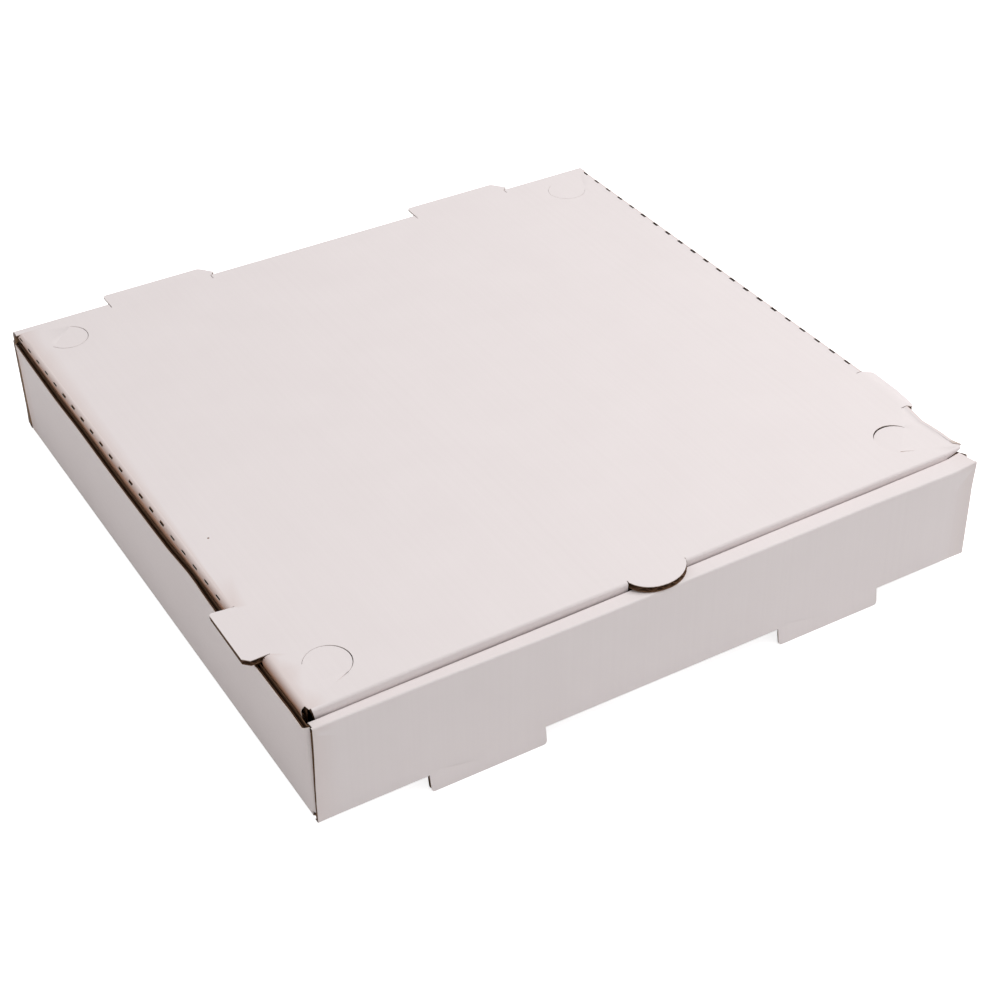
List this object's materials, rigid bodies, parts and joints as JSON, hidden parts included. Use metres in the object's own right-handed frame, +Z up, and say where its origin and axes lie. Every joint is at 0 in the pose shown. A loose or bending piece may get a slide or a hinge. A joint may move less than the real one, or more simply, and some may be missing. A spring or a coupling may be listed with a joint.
{
  "type": "pizza box",
  "caption": "Square corrugated cardboard pizza box with a hinged tuck-in lid, rolled front wall, thumb tab, vent ears and feet.",
  "frame": {"origin": "middle of the closed box's outline, on the level of the undersides of the two front feet", "axes": "+X to the right along the front wall, +Y to the rear where the lid is hinged, +Z up"},
  "size_m": [0.3772, 0.3714, 0.0699],
  "materials": {
    "white_board": "matt white outer liner, slightly warm, with faint lines along the flutes",
    "kraft_board": "matt brown inner liner and fluting, seen inside the box and at the cut edges"
  },
  "bodies": {
    "tray": {"tray": "white_board"},
    "lid": {"lid": "white_board"}
  },
  "joints": [
    {"name": "lid_hinge", "type": "hinge", "parent": "tray", "child": "lid", "pos_m": [0, 0.17805, 0.0699], "axis": [-1, 0, 0], "range_deg": [0, 180]}
  ]
}
